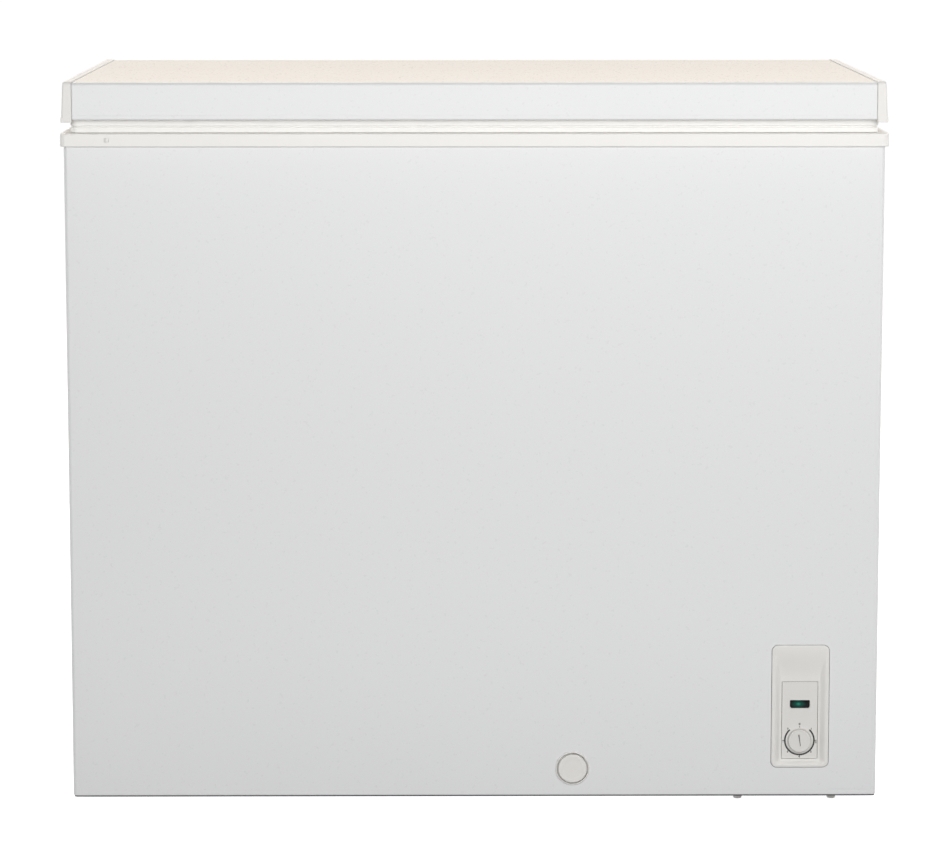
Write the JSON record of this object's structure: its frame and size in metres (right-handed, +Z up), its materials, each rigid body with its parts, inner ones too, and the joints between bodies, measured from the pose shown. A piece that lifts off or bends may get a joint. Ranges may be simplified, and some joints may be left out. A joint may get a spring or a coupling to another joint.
{
  "type": "chest freezer",
  "caption": "Top-opening chest freezer on feet, with a sprung rear-hinged lid, sliding wire basket, thermostat knob and front drain.",
  "frame": {"origin": "on the floor, under the middle of the freezer's overall box", "axes": "+Z up, -Y to the front with the controls, +X to the right seen from the front"},
  "size_m": [0.945, 0.566, 0.842],
  "materials": {
    "white_paint": "satin",
    "white_plastic": "satin",
    "grey_plastic": "satin",
    "galvanised_steel": "satin",
    "black_paint": "satin",
    "black_plastic": "matte",
    "black_rubber": "matte",
    "gasket_vinyl": "satin",
    "insulation_foam": "matte",
    "liner_aluminium": "satin",
    "copper_tube": "satin",
    "zinc_steel": "satin",
    "green_lens": "gloss",
    "coated_wire": "satin"
  },
  "bodies": {
    "cabinet": {"cabinet_wrapper": "white_paint", "rear_panel": "white_paint", "rim_frame": "white_plastic", "side_grille": "white_plastic", "drain_elbow": "white_plastic", "hinge_cover_left": "white_plastic", "hinge_cover_right": "white_plastic", "control_bezel": "grey_plastic", "control_plate": "grey_plastic", "drain_collar": "grey_plastic", "foot_bay_front": "grey_plastic", "foot_bay_rear": "grey_plastic", "foot_right_front": "grey_plastic", "foot_right_rear": "grey_plastic", "base_pan": "galvanised_steel", "compressor_plate": "galvanised_steel", "rear_grille": "galvanised_steel", "thermostat_body": "galvanised_steel", "compressor": "black_paint", "starter_cover": "black_plastic", "cord_gland": "black_plastic", "compressor_grommet_1": "black_rubber", "compressor_grommet_2": "black_rubber", "compressor_grommet_3": "black_rubber", "compressor_grommet_4": "black_rubber", "foot_left_front": "black_rubber", "foot_left_rear": "black_rubber", "cabinet_foam": "insulation_foam", "inner_liner": "liner_aluminium", "evaporator_coil": "liner_aluminium", "condenser_coil": "copper_tube", "suction_tube": "copper_tube", "discharge_tube": "copper_tube", "capillary_tube": "copper_tube", "filter_drier": "copper_tube", "hinge_bracket_left": "zinc_steel", "hinge_bracket_right": "zinc_steel", "hinge_pin_left": "zinc_steel", "hinge_pin_right": "zinc_steel", "hinge_spring_left": "zinc_steel", "hinge_spring_right": "zinc_steel", "indicator_lens": "green_lens", "indicator_lamp": "green_lens"},
    "lid": {"lid_panel": "white_paint", "lid_end_cap_left": "white_plastic", "lid_end_cap_right": "white_plastic", "lid_foam": "insulation_foam", "lid_liner": "white_plastic", "lid_gasket": "gasket_vinyl", "hinge_arm_left": "zinc_steel", "hinge_arm_right": "zinc_steel"},
    "plunger_left": {"hinge_plunger_left": "black_plastic"},
    "plunger_right": {"hinge_plunger_right": "black_plastic"},
    "knob": {"thermostat_knob": "grey_plastic", "thermostat_shaft": "zinc_steel"},
    "drain_slide": {"drain_tube": "white_plastic"},
    "drain_cap": {"drain_dial": "grey_plastic"},
    "floor_plug": {"floor_drain_plug": "black_rubber"},
    "basket": {"storage_basket": "coated_wire"}
  },
  "joints": [
    {"name": "lid_hinge", "type": "hinge", "parent": "cabinet", "child": "lid", "pos_m": [0, 0.268, 0.786], "axis": [-1, 0, 0], "range_deg": [0, 80], "stiffness_Nm_per_rad": 8, "springref_deg": 80.21},
    {"name": "plunger_left_slide", "type": "slide", "parent": "cabinet", "child": "plunger_left", "axis": [0, 0, 1], "range_m": [0, 0.01], "deforming": ["hinge_spring_left"]},
    {"name": "plunger_right_slide", "type": "slide", "parent": "cabinet", "child": "plunger_right", "axis": [0, 0, 1], "range_m": [0, 0.01], "deforming": ["hinge_spring_right"]},
    {"name": "knob_turn", "type": "hinge", "parent": "cabinet", "child": "knob", "pos_m": [0.379, -0.2745, 0.074], "axis": [0, 1, 0], "range_deg": [0, 315]},
    {"name": "drain_pull", "type": "slide", "parent": "cabinet", "child": "drain_slide", "axis": [0, -1, 0], "range_m": [0, 0.025]},
    {"name": "drain_turn", "type": "hinge", "parent": "drain_slide", "child": "drain_cap", "pos_m": [0.114, -0.279, 0.0423], "axis": [0, 1, 0], "range_deg": [0, 180]},
    {"name": "floor_plug_pull", "type": "slide", "parent": "cabinet", "child": "floor_plug", "axis": [0, 0, 1], "range_m": [0, 0.04]},
    {"name": "basket_slide", "type": "slide", "parent": "cabinet", "child": "basket", "axis": [-1, 0, 0], "range_m": [0, 0.536]}
  ],
  "couplings": [
    {"joint": "plunger_left_slide", "follows": "lid_hinge", "m_per_rad": 0.0069},
    {"joint": "plunger_right_slide", "follows": "lid_hinge", "m_per_rad": 0.0069}
  ]
}
